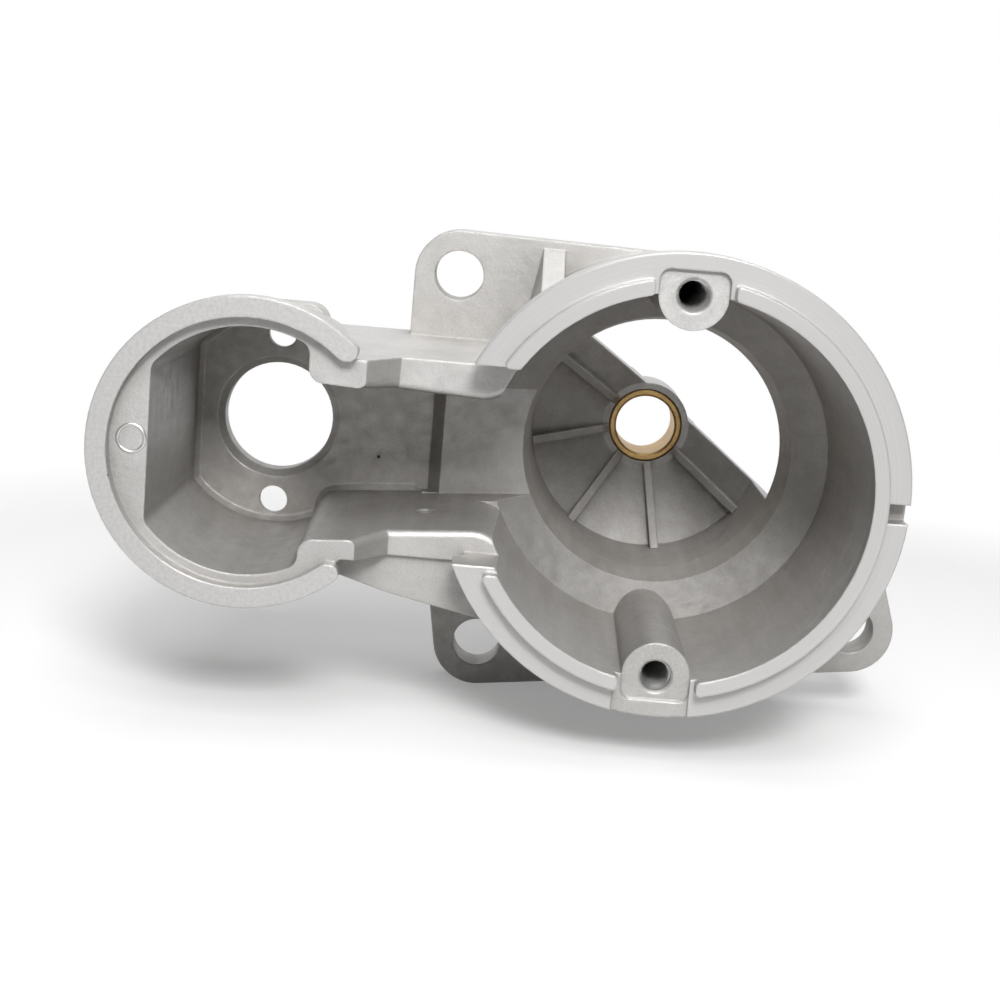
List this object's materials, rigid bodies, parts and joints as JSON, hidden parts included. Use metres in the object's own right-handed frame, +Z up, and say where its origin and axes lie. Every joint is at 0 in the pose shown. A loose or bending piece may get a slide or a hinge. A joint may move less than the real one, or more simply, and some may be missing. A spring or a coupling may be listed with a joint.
{
  "type": "starter motor drive end housing",
  "caption": "Die-cast drive end housing: motor bell and solenoid chamber joined by a lever channel, with an eared flange, an open pinion nose and a pressed-in shaft bush.",
  "frame": {"origin": "centre of the flange's seat face, on the motor axis", "axes": "+Y along the motor axis towards the nose, solenoid axis beside it on -X, +Z up across the line between the two axes"},
  "size_m": [0.1459, 0.0905, 0.087],
  "materials": {
    "cast_aluminium": "as-cast and bead-blasted satin, machined joint faces",
    "bronze": "plain sintered bronze"
  },
  "bodies": {
    "root": {"drive_housing": "cast_aluminium", "nose_bush": "bronze"}
  },
  "joints": []
}
